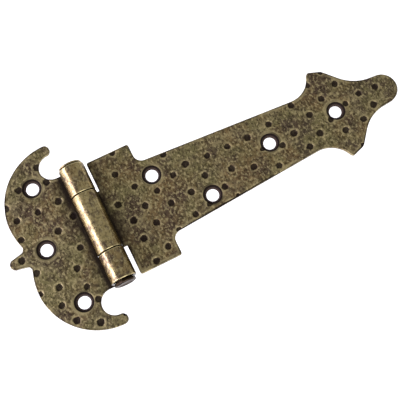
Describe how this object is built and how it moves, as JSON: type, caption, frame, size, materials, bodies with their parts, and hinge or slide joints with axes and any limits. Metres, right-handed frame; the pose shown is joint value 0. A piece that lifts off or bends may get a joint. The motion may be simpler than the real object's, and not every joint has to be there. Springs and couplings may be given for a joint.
{
  "type": "strap hinge",
  "caption": "Decorative surface strap hinge: a cross-headed, spear-tipped strap leaf and a crescent jamb leaf turn on one headed pin.",
  "frame": {"origin": "in the plane of both leaves' backs, under the pin's axis at the middle of the barrel", "axes": "+X along the strap towards its spear tip, +Y along the pin towards its domed head, +Z out of the front of the leaves"},
  "size_m": [0.1524, 0.0698, 0.0092],
  "materials": {
    "aged_plate": "antique brass plate over stamped mild steel, patinated and rubbed back on the barrel",
    "pin_steel": "plated steel pin, darkened"
  },
  "bodies": {
    "jamb_side": {"jamb_leaf": "aged_plate", "hinge_pin": "pin_steel"},
    "strap_side": {"strap_leaf": "aged_plate"}
  },
  "joints": [
    {"name": "hinge_turn", "type": "hinge", "parent": "jamb_side", "child": "strap_side", "pos_m": [0, 0, 0.0046], "axis": [0, -1, 0], "range_deg": [-90, 180]}
  ]
}
